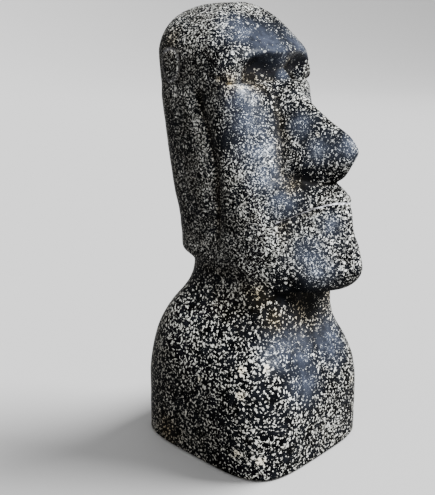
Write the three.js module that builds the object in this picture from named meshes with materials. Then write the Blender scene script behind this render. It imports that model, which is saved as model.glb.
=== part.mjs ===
// A carved wooden moai statue: a long head with a heavy brow, a straight nose and a
// jutting chin, on a short neck and a squared torso, all one block of wood.
// It faces towards -Y, stands on its own flat underside and has the middle of that
// underside as its origin. Units are millimetres, +Z is up.
//
// The block is one closed skin. Rays leave the spine of the figure, level ones up to the
// brow and fanned ones over the crown, and each ray stops where the carved form ends.
// The form is a distance, below zero inside the wood, put together from a few solids:
// torso with neck, skull, brow, cheeks, nose, and the ridge of mouth and chin.

import * as THREE from "three";

// Driving sizes
const HEIGHT = 300;
const BASE_WIDTH = 123;
const BASE_DEPTH = 126;
const NECK_WIDTH = 77;
const BROW_WIDTH = 84;
const JAW_WIDTH = 79;
const SKULL_CORNER = 20;
const JAW_CORNER = 9;
const BASE_EDGE = 1.5;
const EYE_DEPTH = 11;
const NOSE_WIDTH = 35;
const EAR_GROOVE_DEPTH = 1.4;
const EAR_LOBE_RAISE = 1.0;
const MOUTH_STEP = 2;

// Grid of the skin
const COLUMNS = 72;
const ROWS = 68;
const FACE_CROWDING = 0.5;
const ROW_CROWDING = [[0.3, 0.3], [0.4, 1], [0.9, 1], [0.96, 0.5]];
const ROW_EVENNESS = 0.2;
const BISECTIONS = 26;

// Paint
const PAINT_COLOUR = 0x24262c;
const PAINT_ROUGHNESS = 0.45;

// Pose and carving, as shares of HEIGHT. A station is a height, then a value there.
// Torso: 1 is the width of the base and 0 the width of the neck. The heights are
// measured along the torso's own slope, which leans down towards the chest.
const TORSO_TAPER = [
  [0.083, 1], [0.15, 0.966], [0.207, 0.888], [0.257, 0.725], [0.293, 0.545],
  [0.327, 0.309], [0.357, 0.137], [0.387, 0.039], [0.427, 0],
];
const TORSO_SQUARENESS = 4.3;
const NECK_TILT = Math.tan(THREE.MathUtils.degToRad(19));
const TILT_FROM = 0.1;
const TILT_TO = 0.3;
const BASE_SHIFT = 0.002;
const NECK_SHIFT = 0.029;
const SHIFT_FROM = 0.15;
const SHIFT_TO = 0.373;
const NECK_TOP = 0.447;
const NECK_ROUNDING = 0.04;
const NECK_CORE = 0.027;
const TORSO_TOP = 0.5;

// Skull: its back leans away, its crown closes over a point behind the middle
const SKULL_BACK = [
  [0.367, -0.135], [0.477, -0.14], [0.523, -0.14], [0.553, -0.145],
  [0.593, -0.157], [0.667, -0.169], [0.85, -0.196], [0.9, -0.202],
];
const WIDTH_OF_HEAD = [[0.367, 0], [0.5, 0.25], [0.633, 0.65], [0.85, 1]];
const CROWN_FROM = 0.873;
const CROWN_SIDE_ROUNDING = 2.05;
const CROWN_BACK_ROUNDING = 3.3;
const CROWN_CENTRE = [[0.85, 0], [0.9, -0.01], [0.94, -0.033], [0.97, -0.043], [1, -0.047]];

// Forehead, and the soffit that slopes back from the crest of the brow down to a ledge.
// The crest arches up over each eye. The ledge dips beside the nose and rises at the wall.
const FOREHEAD = [
  [0.787, 0.21], [0.873, 0.114], [0.9, 0.087], [0.92, 0.062], [0.94, 0.04],
  [0.96, 0.02], [0.98, -0.007], [0.993, -0.03], [1, -0.047],
];
const FOREHEAD_ROUNDING = 2.1;
const BROW_HEIGHT = 0.897;
const BROW_REACH = 0.087;
const BROW_ARCH = 0.012;
const BROW_ARCH_TO = 0.06;
const BROW_EDGE = 0.004;
const SOFFIT_SLOPE = 0.22;
const SOFFIT_CURVE = 1;
const LEDGE_HEIGHT = 0.834;
const LEDGE_DIP = 0.016;
const LEDGE_DIP_FROM = 0.03;
const LEDGE_DIP_TO = 0.055;
const LEDGE_RISE = 0.012;
const LEDGE_RISE_FROM = 0.115;
const LEDGE_RISE_TO = 0.14;
const LEDGE_DROP = 1.3;
const LEDGE_SOFTNESS = 0.004;

// Eyes: a scoop in each half of the soffit, deepening from the crest down to the ledge
const EYE_SIDE = 0.06;
const EYE_HALF_WIDTH = 0.055;
const EYE_FROM = -0.004;
const EYE_TO = 0.05;

// Cheeks
const CHEEK = [
  [0.393, 0.187], [0.467, 0.19], [0.557, 0.165], [0.633, 0.14], [0.68, 0.13], [0.743, 0.11],
  [0.8, 0.085], [0.82, 0.073], [0.831, 0.062], [0.84, 0.02], [0.852, -0.05],
];
const CHEEK_SQUARENESS = [
  [0.5, 3.5], [0.58, 3.2], [0.64, 2.5], [0.72, 2.2], [0.8, 2.8], [0.84, 3.8],
];
const CHEEK_BLEND = 0.005;
const FACE_TOP = 0.91;

// Nose: its ridge, its half width as a share of NOSE_WIDTH, and how blunt its sides are
const NOSE_RIDGE = [
  [0.593, 0.067], [0.62, 0.15], [0.64, 0.22], [0.66, 0.246], [0.687, 0.267], [0.707, 0.272],
  [0.733, 0.256], [0.767, 0.195], [0.8, 0.145], [0.833, 0.106], [0.87, 0.068], [0.893, 0.033],
  [0.92, -0.2],
];
const NOSE_HALF_WIDTH = [
  [0.627, 0.52], [0.66, 0.52], [0.69, 0.47], [0.743, 0.39], [0.8, 0.335], [0.853, 0.26],
  [0.893, 0.17],
];
const NOSE_BLUNTNESS = [[0.633, 0.6], [0.66, 0.62], [0.7, 0.78], [0.75, 0.95], [0.853, 0.9]];
const RIDGE_HALF_WIDTH = 0.013;
const RIDGE_ROUNDING = 0.01;
const NOSE_ROOT_DEPTH = 0.013;
const NOSE_SIDE_FALL = 4;
const NOSE_BLEND = 0.0067;

// Underside of the nose: a facet that slopes up to the front and back to the sides
const NOSTRIL_HEIGHT = 0.642;
const NOSTRIL_REACH = 0.235;
const NOSTRIL_SLOPE = 0.6;
const NOSTRIL_FALL = 2.4;
const NOSTRIL_EDGE = 0.003;

// Mouth and chin: one keel, with its side slope, the rounding of its edge, and how
// much it pulls in towards the cheeks
const KEEL = [
  [0.393, 0.247], [0.42, 0.267], [0.467, 0.293], [0.507, 0.283], [0.547, 0.267],
  [0.597, 0.26], [0.617, 0.249], [0.637, 0.223], [0.66, 0.172], [0.717, 0.033], [0.75, -0.2],
];
const KEEL_SLOPE = [
  [0.42, 1.2], [0.45, 1.28], [0.483, 1.32], [0.527, 1.25], [0.567, 1.2], [0.617, 1.25],
  [0.64, 1.45], [0.66, 1.8],
];
const KEEL_EDGE = [[0.427, 0.027], [0.5, 0.022], [0.567, 0.013], [0.65, 0.012]];
const KEEL_PULL = [[0.42, 6], [0.483, 9], [0.54, 15], [0.565, 12], [0.59, 6], [0.65, 6]];
const KEEL_PULL_FROM = 0.055;
const LIP_PULL = [[0.55, 0], [0.59, 60]];
const LIP_PULL_FROM = 0.095;
const KEEL_BLEND = 0.0133;

// Mouth: the upper lip stands out over a line that falls towards its corners. A station
// of the line is a distance from the middle, then a height there.
const MOUTH_LINE = [
  [0, 0.6025], [0.018, 0.603], [0.047, 0.595], [0.073, 0.58], [0.092, 0.562], [0.105, 0.559],
  [0.125, 0.568],
];
const LIP_SPREAD = 0.012;
const LIP_GROWTH = 0.7;
const LIP_GROWTH_FROM = 0.02;
const LIP_GROWTH_TO = 0.07;
const LIP_FADE_FROM = 0.1;
const LIP_FADE_TO = 0.13;

// Underside of the jaw, from the nape to the chin
const JAW_LINE = [
  [-0.2, 0.451], [-0.133, 0.451], [-0.067, 0.449], [0, 0.448], [0.067, 0.437],
  [0.117, 0.42], [0.167, 0.408], [0.233, 0.414], [0.3, 0.432],
];
const JAW_BLEND = 0.02;
const NAPE_BLEND = 0.0167;
const JAW_CORNER_FROM = 0.467;
const JAW_CORNER_TO = 0.55;

// Ears: the edge of the long lobe, low on the side of the head, and the ring above it
const LOBE_EDGE = [
  [0.5, 0.01], [0.59, 0.017], [0.667, 0.01], [0.717, -0.003], [0.783, -0.027], [0.85, -0.06],
];
const LOBE_FROM = 0.49;
const LOBE_TO = 0.83;
const LOBE_FADE = 0.03;
const LOBE_RISE_FROM = 0.017;
const LOBE_RISE_TO = 0.05;
const GROOVE_HALF_WIDTH = 0.0117;

// Spine of the figure, from which the rays leave
const SPINE_LOW = -0.013;
const SPINE_HIGH = -0.047;
const SPINE_FROM = 0.4;
const SPINE_TO = 0.833;
const FAN_HEIGHT = 0.833;
const RAY_LIMIT = 0.5;

// Elevation at which the fan meets the crest of the brow, against the angle from
// straight ahead. One row of the grid is kept on it, and behind the brow it evens out.
const CREST = [
  [0, 0.46], [0.2, 0.463], [0.36, 0.466], [0.45, 0.458], [0.534, 0.439], [0.616, 0.413],
  [0.694, 0.378], [0.769, 0.327], [0.843, 0.244], [0.881, 0.177], [0.925, 0.09],
  [1.1, 0.14], [1.5, 0.3],
];
const UPRIGHT = Math.PI / 2;

const OUTSIDE = 1;

// Smooth helpers
function smoothstep(from, to, at) {
  return THREE.MathUtils.smoothstep(at, from, to);
}

// Largest of two values, with the crease between them rounded over a width
function blendMax(a, b, width) {
  const share = THREE.MathUtils.clamp(0.5 + 0.5 * (a - b) / width, 0, 1);
  return b + (a - b) * share + width * share * (1 - share);
}

function blendMin(a, b, width) {
  return -blendMax(-a, -b, width);
}

// Distance outside two walls that meet in a corner of the given radius
function cornerMax(a, b, radius) {
  const round = Math.hypot(Math.max(a + radius, 0), Math.max(b + radius, 0));
  return Math.min(Math.max(a, b), -radius) + round;
}

// Smooth curve through stations, level beyond both ends and never overshooting
function through(stations, at) {
  const last = stations.length - 1;
  const slope = (i) => (stations[i + 1][1] - stations[i][1]) / (stations[i + 1][0] - stations[i][0]);
  const tangent = (i) => {
    if (i === 0) return slope(0);
    if (i === last) return slope(last - 1);
    const before = slope(i - 1);
    const after = slope(i);
    return before * after <= 0 ? 0 : (2 * before * after) / (before + after);
  };
  if (at <= stations[0][0]) return stations[0][1];
  if (at >= stations[last][0]) return stations[last][1];
  let i = 0;
  while (at > stations[i + 1][0]) i += 1;
  const run = stations[i + 1][0] - stations[i][0];
  const t = (at - stations[i][0]) / run;
  const s = 1 - t;
  return (
    (1 + 2 * t) * s * s * stations[i][1] +
    t * s * s * run * tangent(i) +
    t * t * (3 - 2 * t) * stations[i + 1][1] -
    t * t * s * run * tangent(i + 1)
  );
}

// A depth that is full in the middle and falls to the base depth at the side walls
function rounded(depth, base, sideShare, power) {
  return base + (depth - base) * (1 - sideShare ** power) ** (1 / power);
}

// In the functions below, x is across, f forward and z up, all as shares of HEIGHT.

function headHalfWidth(z) {
  const share = through(WIDTH_OF_HEAD, z);
  return (JAW_WIDTH + (BROW_WIDTH - JAW_WIDTH) * share) / 2 / HEIGHT;
}

// Torso and neck: a squared section that narrows from the base to the neck
function torsoDistance(x, f, z) {
  const height = z + NECK_TILT * f * smoothstep(TILT_FROM, TILT_TO, z);
  const middle = BASE_SHIFT + (NECK_SHIFT - BASE_SHIFT) * smoothstep(SHIFT_FROM, SHIFT_TO, z);
  const width = NECK_WIDTH + (BASE_WIDTH - NECK_WIDTH) * through(TORSO_TAPER, height);
  const over = Math.max(height - NECK_TOP, 0);
  const edge = Math.max(BASE_EDGE / HEIGHT - z, 0);
  const halfWidth = Math.max(width / 2 / HEIGHT - (over * over) / NECK_ROUNDING, NECK_CORE) - edge;
  const halfDepth = halfWidth * (BASE_DEPTH / BASE_WIDTH);
  const across = (Math.abs(x) / halfWidth) ** TORSO_SQUARENESS;
  const along = (Math.abs(f - middle) / halfDepth) ** TORSO_SQUARENESS;
  const outside = ((across + along) ** (1 / TORSO_SQUARENESS) - 1) * halfWidth;
  return Math.max(outside, z - TORSO_TOP);
}

// Height of the ledge at the foot of the soffit
function ledgeHeight(side) {
  const dip = LEDGE_DIP * (1 - smoothstep(LEDGE_DIP_FROM, LEDGE_DIP_TO, side));
  const rise = LEDGE_RISE * smoothstep(LEDGE_RISE_FROM, LEDGE_RISE_TO, side);
  return LEDGE_HEIGHT - dip + rise;
}

// Brow: the forehead slopes down to a crest, and the soffit below it slopes back
function browReach(x, z, sideShare) {
  const side = Math.abs(x);
  const forehead = rounded(
    through(FOREHEAD, z), through(CROWN_CENTRE, z), sideShare, FOREHEAD_ROUNDING,
  );
  const drop = BROW_HEIGHT + BROW_ARCH * smoothstep(0, BROW_ARCH_TO, side) - z;
  const aboveLedge = z - ledgeHeight(side);
  const below = 0.5 * (Math.hypot(aboveLedge, LEDGE_SOFTNESS) - aboveLedge);
  const soffit = BROW_REACH - SOFFIT_SLOPE * drop - SOFFIT_CURVE * x * x - LEDGE_DROP * below;
  const fromEye = (side - EYE_SIDE) / EYE_HALF_WIDTH;
  const scoop = (EYE_DEPTH / HEIGHT) * Math.exp(-fromEye * fromEye) * smoothstep(EYE_FROM, EYE_TO, drop);
  return blendMin(forehead, soffit, BROW_EDGE) - scoop;
}

// How far a point is beyond the narrow ridge of the nose, from none on its middle
function beyondRidge(side) {
  const past = side - RIDGE_HALF_WIDTH;
  const middle = Math.hypot(RIDGE_HALF_WIDTH, RIDGE_ROUNDING) - RIDGE_HALF_WIDTH;
  return (past + Math.hypot(past, RIDGE_ROUNDING) - middle) / 2;
}

// Nose: a wedge whose sides fall from a narrow ridge to the cheeks, cut off below
function noseReach(x, z) {
  const ridge = through(NOSE_RIDGE, z);
  const root = Math.min(through(CHEEK, z), ridge) - NOSE_ROOT_DEPTH;
  const halfWidth = (through(NOSE_HALF_WIDTH, z) * NOSE_WIDTH) / HEIGHT;
  const side = beyondRidge(Math.abs(x));
  const foot = beyondRidge(halfWidth);
  const share = Math.min(side / foot, 1);
  const wedge = (1 - share) ** through(NOSE_BLUNTNESS, z);
  const flank = root + (ridge - root) * wedge - NOSE_SIDE_FALL * Math.max(side - foot, 0);
  const underside = NOSTRIL_REACH + NOSTRIL_SLOPE * (z - NOSTRIL_HEIGHT) - NOSTRIL_FALL * side;
  return blendMin(flank, underside, NOSTRIL_EDGE);
}

// Mouth and chin: a keel with sloping sides, and a step under the upper lip
function keelReach(x, z) {
  const side = Math.abs(x);
  const edge = through(KEEL_EDGE, z);
  const slope = through(KEEL_SLOPE, z) * (Math.hypot(x, edge) - edge);
  const pull =
    through(KEEL_PULL, z) * Math.max(side - KEEL_PULL_FROM, 0) ** 2 +
    through(LIP_PULL, z) * Math.max(side - LIP_PULL_FROM, 0) ** 2;
  const growth = 1 + LIP_GROWTH * smoothstep(LIP_GROWTH_FROM, LIP_GROWTH_TO, side);
  const width = growth * (1 - smoothstep(LIP_FADE_FROM, LIP_FADE_TO, side));
  const fromLine = (z - through(MOUTH_LINE, side)) / LIP_SPREAD;
  const step = ((MOUTH_STEP / HEIGHT) * width * fromLine) / (1 + fromLine ** 4);
  return through(KEEL, z) - slope - pull + step;
}

// Side of the head: the long ear lobe stands out behind a shallow groove
function earRelief(f, z) {
  const fade =
    smoothstep(LOBE_FROM, LOBE_FROM + LOBE_FADE, z) * (1 - smoothstep(LOBE_TO - LOBE_FADE, LOBE_TO, z));
  const behind = through(LOBE_EDGE, z) - f;
  const lobe = EAR_LOBE_RAISE * smoothstep(LOBE_RISE_FROM, LOBE_RISE_TO, behind);
  const groove = EAR_GROOVE_DEPTH * Math.exp(-((behind / GROOVE_HALF_WIDTH) ** 2));
  return (fade * (lobe - groove)) / HEIGHT;
}

// Skull with its face
function headDistance(x, f, z) {
  if (z >= 1) return OUTSIDE;
  const rise = Math.max((z - CROWN_FROM) / (1 - CROWN_FROM), 0);
  const sideClose = (1 - rise ** CROWN_SIDE_ROUNDING) ** (1 / CROWN_SIDE_ROUNDING);
  const backClose = (1 - rise ** CROWN_BACK_ROUNDING) ** (1 / CROWN_BACK_ROUNDING);
  const centre = through(CROWN_CENTRE, z);
  const halfWidth = headHalfWidth(z) * sideClose;
  const back = centre + (through(SKULL_BACK, z) - centre) * backClose;
  const sideShare = Math.min(Math.abs(x) / halfWidth, 1);
  const wall = Math.abs(x) - halfWidth - earRelief(f, z);

  let reach = browReach(x, z, sideShare);
  if (z < FACE_TOP) {
    const cheek = rounded(through(CHEEK, z), 0, sideShare, through(CHEEK_SQUARENESS, z));
    reach = blendMax(reach, cheek, CHEEK_BLEND);
    reach = blendMax(reach, keelReach(x, z), KEEL_BLEND);
    reach = blendMax(reach, noseReach(x, z), NOSE_BLEND);
  }
  const cheekCorner = (JAW_CORNER / HEIGHT) * (1 - smoothstep(JAW_CORNER_FROM, JAW_CORNER_TO, z));
  const skullCorner = (SKULL_CORNER / HEIGHT) * Math.min(sideClose, backClose);
  const front = cornerMax(wall, f - reach, cheekCorner);
  const rear = cornerMax(wall, back - f, skullCorner);
  const underside = through(JAW_LINE, f) - z;
  return blendMax(Math.max(front, rear), underside, JAW_BLEND);
}

function woodDistance(x, f, z) {
  return blendMin(headDistance(x, f, z), torsoDistance(x, f, z), NAPE_BLEND);
}

// Elevation of a fanned ray, squeezed so that the ray of the crest stays on the crest
function fannedElevation(elevation, angle) {
  const ahead = CREST[0][1];
  const crest = through(CREST, Math.min(angle, 2 * Math.PI - angle));
  if (elevation < ahead) return (elevation * crest) / ahead;
  return UPRIGHT - ((UPRIGHT - elevation) * (UPRIGHT - crest)) / (UPRIGHT - ahead);
}

// Where a ray from the spine leaves the wood. A ray has a height on the spine, an
// elevation, and an angle around the figure with 0 straight ahead.
function skinPoint(ray, angle) {
  const start = SPINE_LOW + (SPINE_HIGH - SPINE_LOW) * smoothstep(SPINE_FROM, SPINE_TO, ray.height);
  const elevation = fannedElevation(ray.elevation, angle);
  const across = Math.sin(angle) * Math.cos(elevation);
  const forward = Math.cos(angle) * Math.cos(elevation);
  const up = Math.sin(elevation);
  let inside = 0;
  let outside = RAY_LIMIT;
  for (let step = 0; step < BISECTIONS; step += 1) {
    const middle = (inside + outside) / 2;
    const distance = woodDistance(middle * across, start + middle * forward, ray.height + middle * up);
    if (distance < 0) inside = middle;
    else outside = middle;
  }
  return new THREE.Vector3(
    inside * across * HEIGHT,
    -(start + inside * forward) * HEIGHT,
    (ray.height + inside * up) * HEIGHT,
  );
}

// Rays of one column from the base to the crown, close together
function trialRays() {
  const levels = 400;
  const fans = 160;
  const rays = [];
  for (let i = 0; i <= levels; i += 1) {
    rays.push({ height: (FAN_HEIGHT * i) / levels, elevation: 0 });
  }
  for (let i = 1; i < fans; i += 1) {
    rays.push({ height: FAN_HEIGHT, elevation: (UPRIGHT * i) / fans });
  }
  return rays;
}

// Rows at even steps along the profile of the face, so that they crowd where the
// profile runs in under the brow, the nose and the chin
function rowRays() {
  const rays = trialRays();
  const profile = rays.map((ray) => skinPoint(ray, 0));
  const steps = profile.slice(1).map((point, i) => {
    return point.distanceTo(profile[i]) * through(ROW_CROWDING, point.z / HEIGHT);
  });
  const total = steps.reduce((sum, step) => sum + step, 0);
  const evenly = (ROW_EVENNESS * total) / steps.length;
  const lengths = [0];
  steps.forEach((step) => lengths.push(lengths[lengths.length - 1] + step + evenly));
  const whole = lengths[lengths.length - 1];

  const rows = [{ height: 0, elevation: 0 }, { height: BASE_EDGE / HEIGHT, elevation: 0 }];
  let i = 0;
  for (let row = 1; rows.length < ROWS; row += 1) {
    const wanted = (whole * row) / (ROWS - 1);
    while (i < rays.length - 1 && lengths[i] < wanted) i += 1;
    rows.push(rays[i]);
  }
  const gap = (ray) => Math.abs(ray.elevation - CREST[0][1]);
  const nearest = rows.reduce((best, ray) => (gap(ray) < gap(best) ? ray : best));
  rows[rows.indexOf(nearest)] = { height: FAN_HEIGHT, elevation: CREST[0][1] };
  return rows;
}

// Angles of the columns, closer together over the face than over the back
function columnAngles() {
  return Array.from({ length: COLUMNS }, (_, i) => {
    const turn = (2 * Math.PI * i) / COLUMNS;
    return turn - FACE_CROWDING * Math.sin(turn);
  });
}

function statueGeometry() {
  const rows = rowRays();
  const angles = columnAngles();
  const points = [];
  rows.forEach((ray) => angles.forEach((angle) => points.push(skinPoint(ray, angle))));
  const sole = points.push(new THREE.Vector3(0, 0, 0)) - 1;
  const crown = points.push(skinPoint({ height: FAN_HEIGHT, elevation: UPRIGHT }, 0)) - 1;

  const triangles = [];
  const top = (rows.length - 1) * COLUMNS;
  for (let column = 0; column < COLUMNS; column += 1) {
    const next = (column + 1) % COLUMNS;
    const leftHalf = column < COLUMNS / 2;
    triangles.push(sole, next, column);
    for (let row = 0; row < rows.length - 1; row += 1) {
      const a = row * COLUMNS + column;
      const b = row * COLUMNS + next;
      const c = b + COLUMNS;
      const d = a + COLUMNS;
      if (leftHalf) triangles.push(a, c, d, a, b, c);
      else triangles.push(a, b, d, d, b, c);
    }
    triangles.push(top + column, top + next, crown);
  }

  const geometry = new THREE.BufferGeometry();
  geometry.setAttribute("position", new THREE.Float32BufferAttribute(points.flatMap((p) => p.toArray()), 3));
  geometry.setIndex(triangles);
  geometry.computeVertexNormals();
  return geometry;
}

function paintedWood() {
  return new THREE.MeshStandardMaterial({
    color: PAINT_COLOUR,
    roughness: PAINT_ROUGHNESS,
    metalness: 0,
  });
}

const statue = new THREE.Mesh(statueGeometry(), paintedWood());
statue.name = "moai_statue";

const group = new THREE.Group();
group.add(statue);

export default group;
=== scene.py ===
# %% [markdown]
# # A carved wooden moai, painted black and flecked with cream
#
# The real object is one block of wood about 30 cm tall: a long head with a heavy brow, a
# straight nose and a jutting chin, on a short neck and a squared torso. It is carved by
# hand, sprayed or brushed black, and dabbed all over with cream paint. The cream sits in
# small worm-like flecks, finest where hands have polished it. Shade is painted in as well:
# the flecks are thinned in the sockets, under the nose and the jaw, on the forehead and in
# the hollows, and the polished places get a painted blue-grey sheen.
#
# The plan of this lesson: load the imported solid, which gives the size and the place; work
# out the same form again on a much finer grid; cut the mouth, the ears and the tool marks
# into it; mark hollows, worn places and the places of painted shade and painted sheen on
# its points; paint it with nodes; and set up the floor, the lights and the camera.

# %% Load the imported solid
import math

import bpy
import numpy as np
from mathutils import Matrix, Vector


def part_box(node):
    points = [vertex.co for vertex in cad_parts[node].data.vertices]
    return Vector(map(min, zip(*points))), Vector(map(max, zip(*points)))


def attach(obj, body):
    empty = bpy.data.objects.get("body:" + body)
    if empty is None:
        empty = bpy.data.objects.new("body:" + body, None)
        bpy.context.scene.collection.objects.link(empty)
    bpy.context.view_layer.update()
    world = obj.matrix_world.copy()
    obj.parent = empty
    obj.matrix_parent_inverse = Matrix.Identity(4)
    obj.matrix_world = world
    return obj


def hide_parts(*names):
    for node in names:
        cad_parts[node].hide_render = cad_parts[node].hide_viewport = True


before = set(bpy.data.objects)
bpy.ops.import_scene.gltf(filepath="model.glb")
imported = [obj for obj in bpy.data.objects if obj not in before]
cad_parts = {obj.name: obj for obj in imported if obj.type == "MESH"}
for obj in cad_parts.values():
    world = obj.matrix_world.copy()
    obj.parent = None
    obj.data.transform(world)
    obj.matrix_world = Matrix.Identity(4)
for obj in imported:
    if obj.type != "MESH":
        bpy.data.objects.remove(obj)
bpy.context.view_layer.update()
low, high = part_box("moai_statue")
HEIGHT = float(high[2] - low[2])
MM = 0.001 / HEIGHT
print("height in metres:", round(HEIGHT, 4), "- one millimetre as a share of it:", round(MM, 5))

# %% [markdown]
# ## Helpers for smooth forms
#
# A carved form has no sharp joins. Instead of joining meshes, which leaves seams, the form
# is written as a distance: below zero inside the wood and above zero outside. Two such
# distances are joined by taking the smaller one and cut by taking the larger one, and
# both can be rounded where they meet. All helpers take whole arrays.

# %% Smooth helpers
def smoothstep(start, end, at):
    """0 up to start, 1 from end on, and an S-shaped cubic between them."""
    t = np.clip((at - start) / (end - start), 0, 1)
    return t * t * (3 - 2 * t)


def bell(away):
    """1 at none away, falling off to both sides: e to the power of minus the square."""
    return np.exp(-(away**2))


def blend_max(a, b, width):
    """The larger of a and b, with the crease rounded where they differ by under width."""
    share = np.clip(0.5 + 0.5 * (a - b) / width, 0, 1)
    return b + (a - b) * share + width * share * (1 - share)


def blend_min(a, b, width):
    """The smaller of a and b, rounded in the same way."""
    return -blend_max(-a, -b, width)


def corner_max(a, b, radius):
    """Distance outside two walls that meet in a corner of this radius."""
    rounding = np.hypot(np.maximum(a + radius, 0), np.maximum(b + radius, 0))
    return np.minimum(np.maximum(a, b), -radius) + rounding


def through(stations, at):
    """A smooth curve through (place, value) stations: cubic pieces whose slopes are the
    harmonic mean of their neighbours' slopes, so it never swings past a station."""
    place, value = np.array(stations, float).T
    run = np.diff(place)
    slope = np.diff(value) / run
    product = slope[:-1] * slope[1:]
    total = slope[:-1] + slope[1:]
    inner = np.where(product > 0, 2 * product / np.where(total == 0, 1, total), 0)
    tangent = np.concatenate([slope[:1], inner, slope[-1:]])
    at = np.clip(at, place[0], place[-1])
    i = np.clip(np.searchsorted(place, at, side="right") - 1, 0, len(run) - 1)
    t = (at - place[i]) / run[i]
    s = 1 - t
    return (
        (1 + 2 * t) * s * s * value[i]
        + t * s * s * run[i] * tangent[i]
        + t * t * (3 - 2 * t) * value[i + 1]
        - t * t * s * run[i] * tangent[i + 1]
    )


def rounded(depth, base, side_share, power):
    """A depth that is full in the middle and falls to base at the side walls."""
    return base + (depth - base) * (1 - side_share**power) ** (1 / power)


print("halfway up an S-curve:", smoothstep(0.0, 1.0, np.array([0.25, 0.5])))

# %% [markdown]
# ## The torso and the neck
#
# On the real piece the torso is a squared block with rounded corners that narrows upwards
# like a bottle. It could be a subdivided cube, but a section that is worked out at every
# height keeps the corners equally round. The section is a superellipse: the sum of the two
# shares to the fourth power or so is 1. From here on x is across, f is forward and z is up,
# all as shares of the height.

# %% Torso and neck
BASE_WIDTH = 123 * MM
BASE_DEPTH = 126 * MM
NECK_WIDTH = 77 * MM
BASE_EDGE = 1.5 * MM
TORSO_TAPER = [
    (0.083, 1), (0.15, 0.966), (0.207, 0.888), (0.257, 0.725), (0.293, 0.545),
    (0.327, 0.309), (0.357, 0.137), (0.387, 0.039), (0.427, 0),
]
TORSO_SQUARENESS = 4.3
TORSO_TOP = 0.5
NECK_TILT = math.tan(math.radians(19))
NECK_TILT_RANGE = (0.1, 0.3)
BASE_SHIFT, NECK_SHIFT = 0.002, 0.027
NECK_SHIFT_RANGE = (0.15, 0.373)
NECK_TOP = 0.447
NECK_ROUNDING = 0.04
NECK_CORE = 0.027


def torso_distance(x, f, z):
    """Superellipse section whose width runs from the base to the neck. The heights slope
    down towards the chest, the middle moves forward, and over the neck the section closes."""
    height = z + NECK_TILT * f * smoothstep(*NECK_TILT_RANGE, z)
    middle = BASE_SHIFT + NECK_SHIFT * smoothstep(*NECK_SHIFT_RANGE, z)
    width = NECK_WIDTH + (BASE_WIDTH - NECK_WIDTH) * through(TORSO_TAPER, height)
    over = np.maximum(height - NECK_TOP, 0)
    edge = np.maximum(BASE_EDGE - z, 0)
    half_width = np.maximum(width / 2 - over**2 / NECK_ROUNDING, NECK_CORE) - edge
    half_depth = half_width * (BASE_DEPTH / BASE_WIDTH)
    across = (np.abs(x) / half_width) ** TORSO_SQUARENESS
    along = (np.abs(f - middle) / half_depth) ** TORSO_SQUARENESS
    beyond = (across + along) ** (1 / TORSO_SQUARENESS) - 1
    return np.maximum(beyond * half_width, z - TORSO_TOP)


print("base corner is outside:", torso_distance(0.2, 0.2, 0.1) > 0)

# %% [markdown]
# ## The skull and the brow
#
# The head is one tall rounded block. Its back leans away, its crown closes over a point
# behind the middle, and at the front the forehead slopes down to a crest. Below the crest a
# soffit slopes back to a ledge, with a hollow for each eye. The carver cuts the soffit with
# a few scooping strokes, so its edge is crisp and its inside is soft. It could be sculpted,
# but as a slope and one bell-shaped scoop every stroke is a number that can be changed.

# %% Skull and brow
BROW_WIDTH = 84 * MM
JAW_WIDTH = 79 * MM
SKULL_BACK = [
    (0.367, -0.135), (0.477, -0.14), (0.523, -0.14), (0.553, -0.145),
    (0.593, -0.157), (0.667, -0.169), (0.85, -0.196), (0.9, -0.202),
]
WIDTH_OF_HEAD = [(0.367, 0), (0.5, 0.25), (0.633, 0.65), (0.85, 1)]
CROWN_CENTRE = [(0.85, 0), (0.9, -0.01), (0.94, -0.033), (0.97, -0.043), (1, -0.047)]
FOREHEAD = [
    (0.787, 0.21), (0.873, 0.114), (0.9, 0.087), (0.92, 0.062), (0.94, 0.04),
    (0.96, 0.02), (0.98, -0.007), (0.993, -0.03), (1, -0.047),
]
FOREHEAD_ROUNDING = 2.1
BROW_HEIGHT = 0.897
BROW_REACH = 0.087
BROW_ARCH = 0.012
BROW_ARCH_RANGE = (0.0, 0.06)
BROW_EDGE = 0.004
SOFFIT_SLOPE = 0.22
LEDGE_HEIGHT = 0.834
LEDGE_DIP, LEDGE_DIP_RANGE = 0.016, (0.03, 0.055)
LEDGE_RISE, LEDGE_RISE_RANGE = 0.012, (0.115, 0.14)
LEDGE_DROP = 1.3
LEDGE_SOFTNESS = 0.004
EYE_DEPTH = 11 * MM
EYE_SIDE = 0.06
EYE_HALF_WIDTH = 0.055
EYE_DROP_RANGE = (-0.004, 0.05)


def brow_reach(x, z, side_share):
    """How far forward the brow comes: the lesser of the sloping forehead and the soffit,
    less a scoop for each eye. The soffit falls back by a share of the drop below the
    crest, and steeply below the ledge. The scoop starts at the crest and deepens down."""
    side = np.abs(x)
    drop = BROW_HEIGHT + BROW_ARCH * smoothstep(*BROW_ARCH_RANGE, side) - z
    centre = through(CROWN_CENTRE, z)
    forehead = rounded(through(FOREHEAD, z), centre, side_share, FOREHEAD_ROUNDING)
    dip = LEDGE_DIP * (1 - smoothstep(*LEDGE_DIP_RANGE, side))
    ledge = LEDGE_HEIGHT - dip + LEDGE_RISE * smoothstep(*LEDGE_RISE_RANGE, side)
    below = 0.5 * (ledge - z + np.hypot(ledge - z, LEDGE_SOFTNESS))
    soffit = BROW_REACH - SOFFIT_SLOPE * drop - x * x - LEDGE_DROP * below
    scoop = EYE_DEPTH * bell((side - EYE_SIDE) / EYE_HALF_WIDTH)
    scoop = scoop * smoothstep(*EYE_DROP_RANGE, drop)
    return blend_min(forehead, soffit, BROW_EDGE) - scoop


print("brow at the middle comes forward by", float(np.round(brow_reach(0.0, 0.9, 0.0), 3)))

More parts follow.
